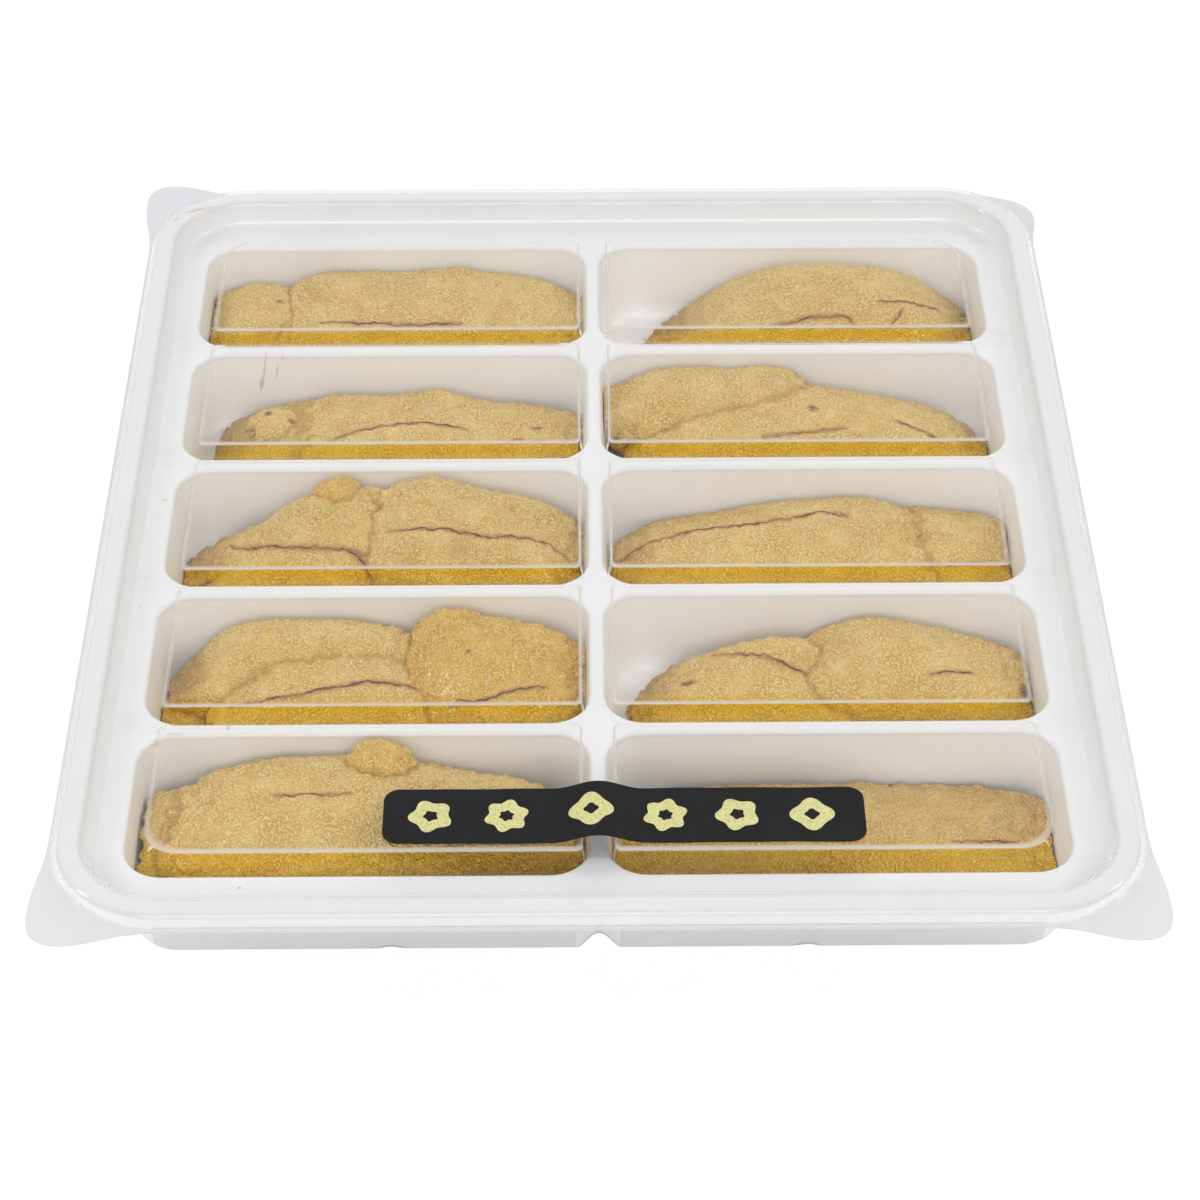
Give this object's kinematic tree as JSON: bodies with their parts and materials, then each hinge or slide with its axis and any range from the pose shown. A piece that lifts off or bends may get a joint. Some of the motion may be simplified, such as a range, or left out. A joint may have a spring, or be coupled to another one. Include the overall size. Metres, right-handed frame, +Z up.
{
  "type": "sea urchin roe pack",
  "caption": "Lobes of sea urchin roe in a white compartment tray, under a clear push-fit lid with a label strip.",
  "frame": {"origin": "on the table under the middle of the pack's outer box", "axes": "+X to the right seen from the label side, +Y away from the label side, +Z up out of the lid"},
  "size_m": [0.2058, 0.2356, 0.027],
  "materials": {
    "tray": "white thermoformed sheet, satin",
    "lid": "clear thermoformed sheet, glossy",
    "label": "black printed film strip with pale rosettes",
    "roe_yellow": "moist granular roe, golden yellow with dark veins",
    "roe_orange": "moist granular roe, orange with dark veins"
  },
  "bodies": {
    "root": {"tray": "tray", "lid": "lid", "label": "label", "roe_1l_main": "roe_yellow", "roe_1l_end": "roe_yellow", "roe_1r_dome": "roe_yellow", "roe_2l_end": "roe_yellow", "roe_2l_main": "roe_yellow", "roe_2l_knob": "roe_yellow", "roe_2r_back": "roe_yellow", "roe_2r_front": "roe_yellow", "roe_3l_peak": "roe_orange", "roe_3l_right": "roe_yellow", "roe_3l_left": "roe_yellow", "roe_3r_right": "roe_yellow", "roe_3r_main": "roe_yellow", "roe_4l_back": "roe_yellow", "roe_4l_orange": "roe_orange", "roe_4l_front": "roe_yellow", "roe_4l_scrap": "roe_yellow", "roe_4r_right": "roe_yellow", "roe_4r_left": "roe_yellow", "roe_5l_main": "roe_yellow", "roe_5l_end": "roe_yellow", "roe_5l_knob": "roe_orange", "roe_5r_main": "roe_yellow"}
  },
  "joints": []
}
